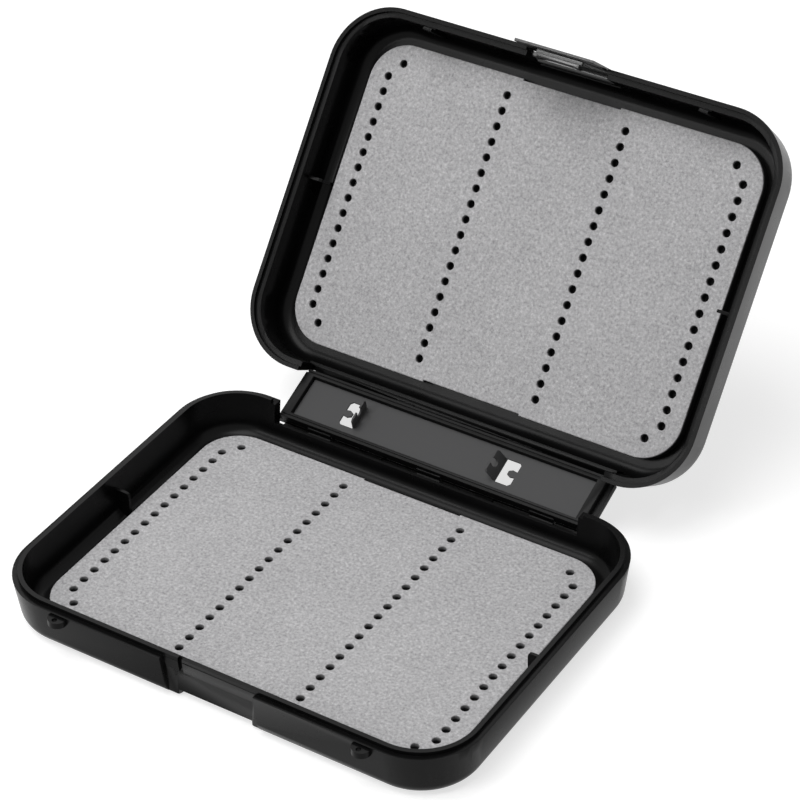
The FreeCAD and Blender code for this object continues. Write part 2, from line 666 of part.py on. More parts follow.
def make_latch_lever():
    """The latch: a plate on a barrel, with a hook bar and two feet on its inner face."""
    body = new_body("latch_lever")
    outer = size.shell_half_width + size.latch_out
    inner = outer - size.latch_thickness
    soft = size.latch_thickness / 4
    axis_z, barrel_radius = size.latch_axis_height, size.latch_barrel_radius
    length = size.latch_half_length * 2
    barrel = new_sketch(body, "barrel", "YZ_Plane")
    circle(barrel, latch_axis_y, axis_z, barrel_radius)
    pad(body, "barrel_pad", barrel, length, midplane=True)
    plate = new_sketch(body, "plate", "YZ_Plane")
    polygon(plate, [
        (latch_axis_y, axis_z - barrel_radius),
        (outer - soft, axis_z - barrel_radius),
        (outer, axis_z - barrel_radius + soft),
        (outer, size.latch_tip_height - soft),
        (outer - soft, size.latch_tip_height),
        (inner + soft, size.latch_tip_height),
        (inner, size.latch_tip_height - soft),
        (inner, axis_z + barrel_radius),
        (latch_axis_y, axis_z + barrel_radius),
    ])
    pad(body, "plate_pad", plate, length, midplane=True)
    hook = new_sketch(body, "hook", "YZ_Plane")
    hook_inner = size.shell_half_width - size.hook_inner_in
    polygon(hook, hook_profile(hook_inner, inner + soft))
    pad(body, "hook_pad", hook, size.hook_half_length * 2, midplane=True)
    for name, offset in (("right", size.hook_foot_offset), ("left", -size.hook_foot_offset)):
        foot = new_sketch(body, f"foot_{name}", "YZ_Plane", offset - size.hook_foot_length / 2)
        polygon(foot, hook_profile(hook_inner - size.hook_foot_reach, inner + soft))
        pad(body, f"foot_pad_{name}", foot, size.hook_foot_length)
    bore = new_sketch(body, "bore", "YZ_Plane")
    circle(bore, latch_axis_y, axis_z, latch_pin_radius + size.running_clearance)
    pocket(body, "bore_cut", bore, length * 2, midplane=True)
    return body


def hook_profile(hook_inner, plate_face):
    """The hook's section: a bar that goes under the catch, on a web from the latch plate."""
    low = closed_thickness - size.catch_lower_edge + size.hook_gap
    bar_outer = size.shell_half_width - size.hook_inner_in + size.hook_thickness
    return [
        (plate_face, low),
        (plate_face, low + size.hook_web),
        (bar_outer, low + size.hook_web),
        (bar_outer, low + size.hook_height),
        (hook_inner + size.hook_thickness / 4, low + size.hook_height),
        (hook_inner, low + size.hook_height - size.hook_thickness / 2),
        (hook_inner, low),
    ]


def rod(label, radius, half_length, y, z, bevel_share=0.3):
    """A steel pin along X with bevelled ends."""
    body = new_body(label)
    section = new_sketch(body, "section", "YZ_Plane")
    circle(section, y, z, radius)
    shank = pad(body, "shank", section, half_length * 2, midplane=True)
    names = [f"Edge{k + 1}" for k, edge in enumerate(shank.Shape.Edges) if edge.BoundBox.XLength < 1e-6]
    bevel = body.newObject("PartDesign::Chamfer", "ends")
    bevel.Base = (shank, names)
    bind(bevel, "Size", radius * bevel_share)
    checked(bevel)
    return body


def make_pad(label, floor_top, thickness):
    """A foam pad with its rows of hook holes."""
    body = new_body(label)
    plan = new_sketch(body, "plan", offset=floor_top)
    rounded_rectangle(plan, pad_half_length, pad_half_width, size.pad_corner_radius)
    pad(body, "foam", plan, thickness)
    notches = new_sketch(body, "notches", offset=floor_top + thickness + size.overrun)
    half, depth = size.pad_notch_half_length, size.pad_notch_depth
    out = pad_half_width + size.overrun
    rectangle(notches, -half, pad_half_width - depth, half, out, "back")
    rectangle(notches, -half, -out, half, -(pad_half_width - depth), "front")
    pocket(body, "notches_cut", notches, thickness + size.overrun * 2)
    holes = new_sketch(body, "holes", offset=floor_top + thickness + size.overrun)
    count = int(size.holes_in_row.value)
    radius = size.hole_diameter / 2
    outer_row = pad_half_length - size.hole_margin
    pitch = (pad_half_width - size.hole_margin) * 2 / (count - 1)
    rows = [
        (-outer_row, size.end_hole_shift),
        (-outer_row / 3, ZERO),
        (outer_row / 3, ZERO),
        (outer_row, -size.end_hole_shift),
    ]
    for r, (row, shift) in enumerate(rows):
        for k in range(count):
            at_end = k in (0, count - 1)
            x = row + shift if at_end else row
            y = pitch * (k - (count - 1) / 2)
            circle(holes, x, y, radius, f"h{r}_{k}_")
    pocket(body, "holes_cut", holes, thickness + size.overrun * 2)
    return body


def make_adhesive(label, floor):
    body = new_body(label)
    plan = new_sketch(body, "plan", offset=floor)
    margin = size.pad_notch_depth * 2
    rounded_rectangle(
        plan, pad_half_length - margin, pad_half_width - margin, size.pad_corner_radius - margin
    )
    pad(body, "sheet", plan, size.adhesive_thickness)
    return body


# The spine is drawn closed, with the base's hinge axis at its origin: +Z runs to the lid's axis,
# and -Y faces into the box.
recess_floor_y = -size.spine_front + size.panel_depth + size.plate_thickness
recess_low = -size.spine_overhang + size.panel_border
recess_high = axis_distance + size.spine_overhang - size.panel_border
clip_low = axis_distance / 2 - size.clip_height / 2
clip_high = axis_distance / 2 + size.clip_height / 2


def clip_bends():
    """Bend line of each clip, the side its slot lies on, and its lean."""
    half = size.clip_spacing / 2
    return [
        ("right", size.clip_middle + half, 1, size.clip_lean_right),
        ("left", size.clip_middle - half, -1, size.clip_lean_left),
    ]


def slot_span(bend, sign):
    """Where a clip's slot starts and ends along the spine."""
    reach = size.clip_reach + size.slot_gap
    return (bend, bend + reach) if sign > 0 else (bend - reach, bend)


def make_hinge_spine():
    body = new_body("hinge_spine")
    low, high = -size.spine_overhang, axis_distance + size.spine_overhang
    section = new_sketch(body, "section", "YZ_Plane")
    rectangle(section, -size.spine_front, low, size.spine_back, high)
    pad(body, "block", section, spine_half_length * 2, midplane=True)
    flange = new_sketch(body, "flange", "YZ_Plane")
    rectangle(flange, -size.flange_front, low, size.spine_back, high)
    pad(body, "flange_pad", flange, flange_half_length * 2, midplane=True)
    back = size.spine_back.value
    fillet_edges(
        body, "back_round", size.spine_edge_radius,
        lambda edge: abs(edge.BoundBox.YMin - back) < 1e-4 and edge.BoundBox.YLength < 1e-4,
    )
    over_front = size.spine_front + size.overrun
    half = panel_half_length
    recess = new_sketch(body, "recess", "XZ_Plane", over_front)
    rectangle(recess, -half, recess_low, half, recess_high)
    pocket(body, "recess_cut", recess, over_front + recess_floor_y)
    groove_half = size.spine_groove_width / 2
    grooves = new_sketch(body, "grooves", "XZ_Plane", over_front)
    groove_end = spine_half_length + size.overrun
    border_half = size.panel_border / 2
    for tag, middle in (("low", recess_low - border_half), ("high", recess_high + border_half)):
        rectangle(grooves, -groove_end, middle - groove_half, groove_end, middle + groove_half, tag)
    pocket(body, "grooves_cut", grooves, size.spine_groove_depth + size.overrun)
    bores = new_sketch(body, "bores", "YZ_Plane")
    circle(bores, ZERO, ZERO, bore_radius_still, "low")
    circle(bores, ZERO, axis_distance, bore_radius_still, "high")
    pocket(body, "bores_cut", bores, spine_half_length * 2, midplane=True)
    # Room for the knuckles: round at the front of each, and open at the back
    clear = size.knuckle_radius + size.knuckle_gap
    room = size.knuckle_length / 2 + size.knuckle_gap
    far_back = size.spine_back + size.overrun
    for k, offset in enumerate([-knuckle_offset, ZERO, knuckle_offset]):
        round_room = new_sketch(body, f"knuckle_room_{k}", "YZ_Plane", offset - room)
        circle(round_room, ZERO, ZERO, clear, "low")
        circle(round_room, ZERO, axis_distance, clear, "high")
        pocket(body, f"knuckle_room_cut_{k}", round_room, room * 2, reverse=True)
        open_room = new_sketch(body, f"open_room_{k}", "YZ_Plane", offset - room)
        rectangle(open_room, ZERO, low - size.overrun, far_back, clear, "low")
        rectangle(open_room, ZERO, axis_distance - clear, far_back, high + size.overrun, "high")
        pocket(body, f"open_room_cut_{k}", open_room, room * 2, reverse=True)
    margin = size.slot_gap + size.window_margin
    for name, bend, sign, lean in clip_bends():
        start, end = slot_span(bend, sign)
        window = new_sketch(body, f"window_{name}", "XZ_Plane", size.spine_front)
        rectangle(
            window, start - size.window_margin - size.window_spread, clip_low - margin,
            end + size.window_margin, clip_high + margin + size.window_spread,
        )
        pocket(body, f"window_cut_{name}", window, size.spine_front + far_back)
    return body


def make_clip_plate():
    """A thin plate in the spine's recess, with two clips lanced out of it and bent up."""
    body = new_body("clip_plate")
    gap = size.plate_clearance
    face = size.spine_front - size.panel_depth
    plan = new_sketch(body, "plan", "XZ_Plane", face)
    half = panel_half_length - gap
    rectangle(plan, -half, recess_low + gap, half, recess_high - gap)
    pad(body, "plate", plan, size.plate_thickness, reverse=True)
    middle = axis_distance / 2
    mouth, neck, corner = size.clip_mouth_radius, size.clip_mouth_neck, size.clip_corner
    low, high = clip_low - size.slot_gap, clip_high + size.slot_gap
    for name, bend, sign, lean in clip_bends():
        start, end = slot_span(bend, sign)
        far = end if sign > 0 else start
        toward = 1 if sign > 0 else -1
        bevelled = far - corner * toward
        seat = far - size.clip_seat_depth * toward
        deep = seat - mouth * toward
        slot = new_sketch(body, f"slot_{name}", "XZ_Plane", face + size.overrun)
        # The plate keeps a round-ended tongue where the clip's seat was lanced
        polygon(slot, [
            (bend, low), (bevelled, low), (far, low + corner), (far, middle - neck),
            (seat, middle - mouth), (deep, middle - mouth / 2), (deep, middle + mouth / 2),
            (seat, middle + mouth), (far, middle + neck), (far, high - corner),
            (bevelled, high), (bend, high),
        ])
        pocket(body, f"slot_cut_{name}", slot, size.plate_thickness + size.overrun * 2)
    for name, bend, sign, lean in clip_bends():
        clip(body, name, bend, sign, lean, face)
    return body


def clip(body, name, bend, sign, lean, face):
    """One clip: a leaf bent up out of the plate, leaning over it, with a round seat in its free edge."""
    reach, thick = size.clip_reach, size.plate_thickness
    front = -face
    tip_y = front - reach * cosine(lean)
    points = [
        (ZERO, front + thick),
        (ZERO, front),
        (-reach * sine(lean), tip_y),
        (-reach * sine(lean) - thick * cosine(lean), tip_y + thick * sine(lean)),
        (-thick * cosine(lean), front + thick * sine(lean)),
        (-thick * cosine(lean), front + thick),
    ]
    section = new_sketch(body, f"clip_{name}", "XY_Plane", clip_low)
    polygon(section, [(bend + x if sign > 0 else bend - x, y) for x, y in points])
    pad(body, f"clip_pad_{name}", section, size.clip_height)
    # The seat, its mouth and the bevelled corners are cut along the length of the box
    start = bend - reach if sign > 0 else bend - thick
    middle = axis_distance / 2
    seat_y = tip_y + size.clip_seat_depth * cosine(lean)
    seat = new_sketch(body, f"seat_{name}", "YZ_Plane", start)
    circle(seat, seat_y, middle, size.clip_mouth_radius)
    pocket(body, f"seat_cut_{name}", seat, reach + thick, reverse=True)
    mouth = new_sketch(body, f"mouth_{name}", "YZ_Plane", start)
    neck, corner, out_y = size.clip_mouth_neck, size.clip_corner, tip_y - size.overrun
    rectangle(mouth, out_y, middle - neck, seat_y, middle + neck)
    for tag, edge, inward in (("low", clip_low, corner), ("high", clip_high, -corner)):
        past = edge - inward
        polygon(mouth, [(tip_y + corner, edge), (tip_y, edge + inward), (out_y, edge + inward), (out_y, past),
                        (tip_y + corner, past)], tag)
    pocket(body, f"mouth_cut_{name}", mouth, reach + thick, reverse=True)


def place_on_spine(body):
    """Swing a spine part back about the base's hinge axis."""
    body.Placement = FreeCAD.Placement(FreeCAD.Vector(), FreeCAD.Rotation(FreeCAD.Vector(-1, 0, 0), 1))
    bind(body, ".Placement.Base.y", hinge_axis_y)
    bind(body, ".Placement.Base.z", size.hinge_axis_height)
    bind(body, ".Placement.Rotation.Angle", size.spine_open_angle)


def place_in_lid(body):
    """Turn a lid part over and open it about the spine's far axis."""
    lean, opening = size.spine_open_angle, size.lid_open_angle
    axis_y = hinge_axis_y + axis_distance * sine(lean)
    axis_z = size.hinge_axis_height + axis_distance * cosine(lean)
    turn = 180 - lean - opening
    body.Placement = FreeCAD.Placement(FreeCAD.Vector(), FreeCAD.Rotation(FreeCAD.Vector(1, 0, 0), 1))
    origin_y = axis_y + hinge_axis_y * cosine(turn) + size.hinge_axis_height * sine(turn)
    origin_z = axis_z + hinge_axis_y * sine(turn) - size.hinge_axis_height * cosine(turn)
    bind(body, ".Placement.Base.y", origin_y)
    bind(body, ".Placement.Base.z", origin_z)
    bind(body, ".Placement.Rotation.Angle", turn)


base_parts = [
    make_base_shell(),
    make_adhesive("base_pad_adhesive", size.base_floor),
    make_pad("base_foam_pad", adhesive_top_base, size.base_pad_thickness),
]
spine_parts = [
    make_hinge_spine(),
    make_clip_plate(),
    rod("base_hinge_pin", pin_radius, spine_half_length - size.pin_end_in, ZERO, ZERO),
    rod("lid_hinge_pin", pin_radius, spine_half_length - size.pin_end_in, ZERO, axis_distance),
]
latch_pin_half_length = size.latch_half_length + size.latch_pin_reach + size.latch_side_gap * 3 / 4
lid_parts = [
    make_lid_shell(),
    make_adhesive("lid_pad_adhesive", size.lid_floor),
    make_pad("lid_foam_pad", adhesive_top_lid, size.lid_pad_thickness),
    make_latch_lever(),
    rod("latch_pin", latch_pin_radius, latch_pin_half_length, latch_axis_y, size.latch_axis_height),
]
for body in spine_parts:
    place_on_spine(body)
for body in lid_parts:
    place_in_lid(body)
doc.recompute()

faults = [item.Label for item in doc.Objects if "Invalid" in item.State or "Error" in item.State]
if faults:
    sys.exit("these objects failed: " + ", ".join(faults))
os.makedirs(PARTS_DIR, exist_ok=True)
for body in base_parts + spine_parts + lid_parts:
    shape = body.Shape
    if shape.isNull() or not shape.isValid():
        sys.exit(f"{body.Label} has no valid shape")
for body in base_parts + spine_parts + lid_parts:
    body.Shape.exportStep(os.path.join(PARTS_DIR, body.Label + ".step"))
    box = body.Shape.BoundBox
    print(f"{body.Label}: {len(body.Shape.Solids)} solid, {body.Shape.Volume / 1000:.2f} cm3,",
          f"{box.XLength:.1f} x {box.YLength:.1f} x {box.ZLength:.1f} mm")
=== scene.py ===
import json
import math

import bmesh
import bpy
from mathutils import Matrix, Vector


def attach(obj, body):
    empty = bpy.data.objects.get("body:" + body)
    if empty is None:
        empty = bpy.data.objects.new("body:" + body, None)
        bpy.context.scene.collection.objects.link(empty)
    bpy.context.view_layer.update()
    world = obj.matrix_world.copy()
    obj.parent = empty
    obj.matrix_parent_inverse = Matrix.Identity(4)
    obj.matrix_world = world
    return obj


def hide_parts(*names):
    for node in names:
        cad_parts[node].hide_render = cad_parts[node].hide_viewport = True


# Fly box: two black moulded trays on a double hinge, grey foam pads with rows of hook holes,
# and a snap latch. Metres throughout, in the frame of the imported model.
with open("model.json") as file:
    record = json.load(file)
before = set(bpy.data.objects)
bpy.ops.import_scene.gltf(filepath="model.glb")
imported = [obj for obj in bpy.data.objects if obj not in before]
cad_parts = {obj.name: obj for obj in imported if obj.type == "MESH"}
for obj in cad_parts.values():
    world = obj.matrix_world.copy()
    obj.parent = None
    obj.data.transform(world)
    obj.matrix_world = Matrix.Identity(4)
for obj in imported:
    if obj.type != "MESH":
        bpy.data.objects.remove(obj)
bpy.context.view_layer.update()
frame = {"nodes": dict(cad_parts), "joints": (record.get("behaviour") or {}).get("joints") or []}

MM = 0.001

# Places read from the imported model
joints = {joint["name"]: joint for joint in frame["joints"]}
base_axis = Vector(joints["base_hinge"]["pos_m"])
lid_axis = Vector(joints["lid_hinge"]["pos_m"])
spine_lean = math.radians(joints["base_hinge"]["range_deg"][1])
lid_opening = math.radians(joints["lid_hinge"]["range_deg"][1])
lid_turn = math.pi - spine_lean - lid_opening

# The lid's own frame: X along the hinge, Y away from the hinge, Z out of its floor
lid_rotation = Matrix.Rotation(lid_turn, 4, "X")
lid_hinge_in_lid = Vector((0, -base_axis.y, base_axis.z))
lid_frame = Matrix.Translation(lid_axis - lid_rotation @ lid_hinge_in_lid) @ lid_rotation
base_frame = Matrix.Identity(4)

# Foam pads
PAD_CORNER_RADIUS = 12.5 * MM
PAD_NOTCH_DEPTH = 0.55 * MM
PAD_NOTCH_HALF_LENGTH = 17.0 * MM
PAD_SOFT_EDGE = 0.35 * MM
HOLE_RADIUS = 1.25 * MM
HOLE_RIM_WIDTH = 0.16 * MM
HOLE_MARGIN = 6.35 * MM
HOLE_END_SHIFT = 3.83 * MM
HOLE_ROWS = 4
HOLES_IN_ROW = 18
HOLE_SIDES = 28
# Beyond this share of the rows' span or length a hole is in an outer row, or ends its row
END_SHARE = 0.49
# An edge with fewer faces beside it than this is open
OPEN_EDGE_LIMIT = 1.5
CORNER_STEPS = 14
EDGE_STEPS = 4

# Moulded edges
TRAY_EDGE = 0.28 * MM
SPINE_EDGE = 0.18 * MM
LATCH_EDGE = 0.3 * MM
SHEET_EDGE = 0.06 * MM
MOULDED_EDGE_STEPS = 2
# A moulding's edges turned by more than this are rounded
SHARP_ANGLE = math.radians(38)
# A pad's edges turned by more than this are shaded sharp
SOFT_ANGLE = math.radians(50)
# A pad's face whose normal stands this upright is level
LEVEL_SHARE = 0.999
# Faces turned by less than this become one
FLAT_ANGLE = math.radians(0.6)
WELD_DISTANCE = 0.001 * MM

# Noise: scales in features per metre, and the middle of its range
PLASTIC_CLOUD_SCALE = 60.0
PLASTIC_GRAIN_SCALE = 2600.0
FOAM_CELL_SCALE = 1150.0
FOAM_FINE_SCALE = 2900.0
FOAM_PATCH_SCALE = 45.0
SHEET_GRAIN_SCALE = 1800.0
STEEL_GRAIN_SCALE = 900.0
NOISE_MIDDLE = 0.5

# Moulded plastic. Each stop: its place in the noise, then its shares of the level, red and green, and blue
PLASTIC_STOP_SHARES = ((0.35, 0.85, 0.85), (0.65, 1.1, 1.14))
PLASTIC_GLOSS_SPREAD = 0.12
PLASTIC_GRAIN_DEPTH = 0.012 * MM
PLASTIC_GRAIN_STRENGTH = 0.35

# Foam: colours over the speckle, and the painted shade down a hole, dim just below the rim and then black
FOAM_CELL_SHARE, FOAM_FINE_SHARE, FOAM_PATCH_SHARE = 0.62, 0.3, 0.08
FOAM_STOPS = (
    (0.30, (0.260, 0.257, 0.263)),
    (0.46, (0.400, 0.396, 0.404)),
    (0.56, (0.470, 0.466, 0.474)),
    (0.70, (0.620, 0.616, 0.624)),
)
FOAM_PAINTED_SHADE_DEPTH = 1.4 * MM
FOAM_PAINTED_SHADE_SHARES = ((0.06, 0.0), (0.14, 0.55), (1.0, 1.0))
FOAM_PAINTED_SHADE_COLOUR = (0.012, 0.012, 0.013, 1.0)
FOAM_ROUGHNESS = 0.92
FOAM_SPECULAR = 0.25
FOAM_RELIEF = 0.12 * MM
FOAM_RELIEF_STRENGTH = 0.5

# Sheet, wire and film
SHEET_COLOUR = (0.058, 0.058, 0.059, 1.0)
SHEET_ROUGHNESS = 0.6
SHEET_SPECULAR = 0.2
SHEET_GRAIN_DEPTH = 0.01 * MM
SHEET_GRAIN_STRENGTH = 0.2
STEEL_COLOUR = (0.56, 0.56, 0.57, 1.0)
STEEL_ROUGHNESS = 0.28
METAL_GLOSS_SPREAD = 0.1
# The film's near-black colour also paints the shade at the bottom of the hook holes
FILM_AND_PAINTED_HOLE_SHADE_COLOUR = (0.012, 0.012, 0.013, 1.0)
FILM_ROUGHNESS = 0.6

# Studio
SEEING_RAYS = ("Is Camera Ray", "Is Glossy Ray", "Is Transmission Ray")
WHITE = (1.0, 1.0, 1.0, 1.0)
ROOM_LEVEL = 0.2
FLOOR_SIZE = 12.0
FLOOR_COLOUR = (0.50, 0.50, 0.50, 1.0)
FLOOR_GLOW = 0.68
BOX_MIDDLE = (0.0, 0.04, 0.04)
LID_MIDDLE = (0.0, 0.13, 0.1)
# Each lamp: place, aim, width and height in metres, and power in watts
LAMPS = {
    "key": ((-0.3, -0.42, 1.8), BOX_MIDDLE, 1.2, 1.2, 26.0),
    "back": ((-0.75, 1.3, 1.15), BOX_MIDDLE, 1.2, 0.7, 4.5),
    "rim": ((-0.7, -1.14, 0.98), LID_MIDDLE, 0.36, 0.36, 4.0),
}

# Photograph: 800 by 800 pixels, its camera solved from the pads' holes
SENSOR = 36.0
LENS = 134.85
CAMERA_PLACE = Vector((381.27, -540.47, 568.42)) * MM
CAMERA_FORWARD = Vector((-0.43732, 0.66971, -0.60020))
CAMERA_RIGHT = Vector((0.84560, 0.53341, -0.02094))
CAMERA_NEAR = 0.05
CAMERA_FAR = 50.0


class Shade:
    """A socket of a shader tree, with sums written as Python expressions."""

    def __init__(self, tree, socket):
        self.tree = tree
        self.socket = socket

    def maths(self, operation, first, second):
        return self.tree.node("ShaderNodeMath", {"operation": operation}, {0: first, 1: second})

    def __add__(self, other):
        return self.maths("ADD", self, other)

    __radd__ = __add__

    def __sub__(self, other):
        return self.maths("SUBTRACT", self, other)

    def __rsub__(self, other):
        return self.maths("SUBTRACT", other, self)

    def __mul__(self, other):
        return self.maths("MULTIPLY", self, other)

    __rmul__ = __mul__

    def __truediv__(self, other):
        return self.maths("DIVIDE", self, other)


def open_socket(sockets, key):
    """The socket of that number or name; of several with one name, the one in use."""
    if isinstance(key, int):
        return sockets[key]
    return next(socket for socket in sockets if socket.name == key and socket.enabled)


class ShaderTree:
    """A material or world tree, and the one method that adds nodes to it."""

    def __init__(self, owner):
        owner.use_nodes = True
        self.tree = owner.node_tree
        self.tree.nodes.clear()

    def node(self, kind, settings=None, values=None, output=0):
        made = self.tree.nodes.new(kind)
        for name, value in (settings or {}).items():
            if name == "stops":
                ramp_stops(made.color_ramp, value)
            else:
                setattr(made, name, value)
        for key, value in (values or {}).items():
            socket = open_socket(made.inputs, key)
            if isinstance(value, Shade):
                self.tree.links.new(value.socket, socket)
            else:
                socket.default_value = value
        return Shade(self, open_socket(made.outputs, output)) if made.outputs else made

    def noise(self, scale, detail=2.0, roughness=0.5):
        """Noise on the piece's own coordinates; scale is in features per metre."""
        place = self.node("ShaderNodeTexCoord", output="Object")
        values = {"Vector": place, "Scale": scale, "Detail": detail, "Roughness": roughness}
        return self.node("ShaderNodeTexNoise", {}, values)


def ramp_stops(ramp, stops):
    """Give a colour ramp these stops, each a place and a colour."""
    while len(ramp.elements) > 1:
        ramp.elements.remove(ramp.elements[-1])
    for k, (position, colour) in enumerate(stops):
        element = ramp.elements[0] if k == 0 else ramp.elements.new(position)
        element.position = position
        element.color = (*colour, 1.0)


def grey(level):
    """A neutral colour of that level."""
    return (level, level, level)


def moulded_plastic(name, level, roughness, specular):
    """Black injection-moulded plastic with a fine satin grain."""
    material = bpy.data.materials.new(name)
    tree = ShaderTree(material)
    cloud = tree.noise(PLASTIC_CLOUD_SCALE, detail=3.0)
    grain = tree.noise(PLASTIC_GRAIN_SCALE, detail=3.0, roughness=0.6)
    stops = [
        (place, (level * share, level * share, level * blue_share))
        for place, share, blue_share in PLASTIC_STOP_SHARES
    ]
    colour = tree.node("ShaderNodeValToRGB", {"stops": stops}, {"Fac": cloud})
    bump = tree.node("ShaderNodeBump", {}, {
        "Strength": PLASTIC_GRAIN_STRENGTH, "Distance": PLASTIC_GRAIN_DEPTH, "Height": grain,
    })
    shader = tree.node("ShaderNodeBsdfPrincipled", {}, {
        "Base Color": colour,
        "Roughness": roughness + (cloud - NOISE_MIDDLE) * PLASTIC_GLOSS_SPREAD,
        "Specular IOR Level": specular,
        "Normal": bump,
    })
    tree.node("ShaderNodeOutputMaterial", {}, {"Surface": shader})
    return material


def closed_cell_foam(name, place, top):
    """Grey closed-cell foam: a skin full of small cells, with shade painted into its colour down in the
    holes.
    """
    material = bpy.data.materials.new(name)
    tree = ShaderTree(material)
    cells = tree.noise(FOAM_CELL_SCALE, roughness=0.55)
    fine = tree.noise(FOAM_FINE_SCALE, detail=1.0)
    patches = tree.noise(FOAM_PATCH_SCALE)
    speckle = cells * FOAM_CELL_SHARE + fine * FOAM_FINE_SHARE + patches * FOAM_PATCH_SHARE
    colour = tree.node("ShaderNodeValToRGB", {"stops": FOAM_STOPS}, {"Fac": speckle})
    # Painted shade: the colour darkens with depth below the pad's top, to near black down the hook holes
    in_tray = tree.node("ShaderNodeMapping", {"vector_type": "TEXTURE"}, {
        "Vector": tree.node("ShaderNodeTexCoord", output="Object"),
        "Location": place.translation, "Rotation": place.to_euler(),
    })
    height = tree.node("ShaderNodeSeparateXYZ", {}, {0: in_tray}, output="Z")
    depth = (top - height) / FOAM_PAINTED_SHADE_DEPTH
    stops = [(share_of_depth, grey(share)) for share_of_depth, share in FOAM_PAINTED_SHADE_SHARES]
    painted_shade = tree.node("ShaderNodeValToRGB", {"stops": stops}, {"Fac": depth})
    colour_with_painted_shade = tree.node("ShaderNodeMix", {"data_type": "RGBA"}, {
        "Factor": painted_shade, "A": colour, "B": FOAM_PAINTED_SHADE_COLOUR,
    }, output="Result")
    bump = tree.node("ShaderNodeBump", {}, {
        "Strength": FOAM_RELIEF_STRENGTH, "Distance": FOAM_RELIEF, "Height": speckle,
    })
    shader = tree.node("ShaderNodeBsdfPrincipled", {}, {
        "Base Color": colour_with_painted_shade,
        "Roughness": FOAM_ROUGHNESS,
        "Specular IOR Level": FOAM_SPECULAR,
        "Normal": bump,
    })
    tree.node("ShaderNodeOutputMaterial", {}, {"Surface": shader})
    return material


def coated_sheet(name):
    """Dark anodised sheet metal with a matt, even face."""
    material = bpy.data.materials.new(name)
    tree = ShaderTree(material)
    grain = tree.noise(SHEET_GRAIN_SCALE)
    bump = tree.node("ShaderNodeBump", {}, {
        "Strength": SHEET_GRAIN_STRENGTH, "Distance": SHEET_GRAIN_DEPTH, "Height": grain,
    })
    shader = tree.node("ShaderNodeBsdfPrincipled", {}, {
        "Base Color": SHEET_COLOUR,
        "Roughness": SHEET_ROUGHNESS + (grain - NOISE_MIDDLE) * METAL_GLOSS_SPREAD,
        "Specular IOR Level": SHEET_SPECULAR,
        "Normal": bump,
    })
    tree.node("ShaderNodeOutputMaterial", {}, {"Surface": shader})
    return material


def bright_steel(name):
    """Drawn steel wire, bright and faintly uneven."""
    material = bpy.data.materials.new(name)
    tree = ShaderTree(material)
    grain = tree.noise(STEEL_GRAIN_SCALE)
    shader = tree.node("ShaderNodeBsdfPrincipled", {}, {
        "Base Color": STEEL_COLOUR,
        "Metallic": 1.0,
        "Roughness": STEEL_ROUGHNESS + (grain - NOISE_MIDDLE) * METAL_GLOSS_SPREAD,
    })
    tree.node("ShaderNodeOutputMaterial", {}, {"Surface": shader})
    return material


def tape_film(name):
    """The dark film that holds a pad, under it and seen down the hook holes; its near-black colour is
    painted shade at the holes' bottoms.
    """
    material = bpy.data.materials.new(name)
    tree = ShaderTree(material)
    shader = tree.node("ShaderNodeBsdfPrincipled", {}, {
        "Base Color": FILM_AND_PAINTED_HOLE_SHADE_COLOUR,
        "Roughness": FILM_ROUGHNESS,
    })
    tree.node("ShaderNodeOutputMaterial", {}, {"Surface": shader})
    return material


tray_plastic = moulded_plastic("tray_plastic", level=0.003, roughness=0.28, specular=0.09)
spine_plastic = moulded_plastic("spine_plastic", level=0.004, roughness=0.42, specular=0.12)
latch_plastic = moulded_plastic("latch_plastic", level=0.004, roughness=0.22, specular=0.6)
sheet_metal = coated_sheet("clip_sheet_metal")
wire_steel = bright_steel("wire_steel")
tape = tape_film("pad_tape")


def paint(piece, material):
    """Give a piece one material."""
    piece.data.materials.clear()
    piece.data.materials.append(material)


def plain_mesh(piece, name):
    """The piece with its modifiers worked in, as a plain mesh object under that name."""
    graph = bpy.context.evaluated_depsgraph_get()
    mesh = bpy.data.meshes.new_from_object(piece.evaluated_get(graph))
    mesh.name = name
    finished = bpy.data.objects.new(name, mesh)
    bpy.context.scene.collection.objects.link(finished)
    bpy.data.objects.remove(piece)
    return finished


def smooth_by_angle(mesh, angle):
    """Smooth faces, with sharp edges where the faces meet at more than the angle."""
    mesh.polygons.foreach_set("use_smooth", [True] * len(mesh.polygons))
    mesh.set_sharp_from_angle(angle=angle)


def softened(node_name, name, edge_width, material, body):
    """A CAD node as one welded skin with its moulded edges rounded."""
    mesh = frame["nodes"][node_name].data.copy()
    work = bmesh.new()
    work.from_mesh(mesh)
    bmesh.ops.remove_doubles(work, verts=work.verts, dist=WELD_DISTANCE)
    bmesh.ops.dissolve_limit(work, angle_limit=FLAT_ANGLE, verts=work.verts, edges=work.edges)
    work.to_mesh(mesh)
    work.free()
    smooth_by_angle(mesh, SHARP_ANGLE)
    piece = bpy.data.objects.new(name + "_work", mesh)
    bpy.context.scene.collection.objects.link(piece)
    bevel = piece.modifiers.new("edges", "BEVEL")
    bevel.width = edge_width
    bevel.segments = MOULDED_EDGE_STEPS
    bevel.limit_method = "ANGLE"
    bevel.angle_limit = SHARP_ANGLE
    bevel.use_clamp_overlap = True
    bevel.harden_normals = True
    finished = plain_mesh(piece, name)
    paint(finished, material)
    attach(finished, body)
    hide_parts(node_name)


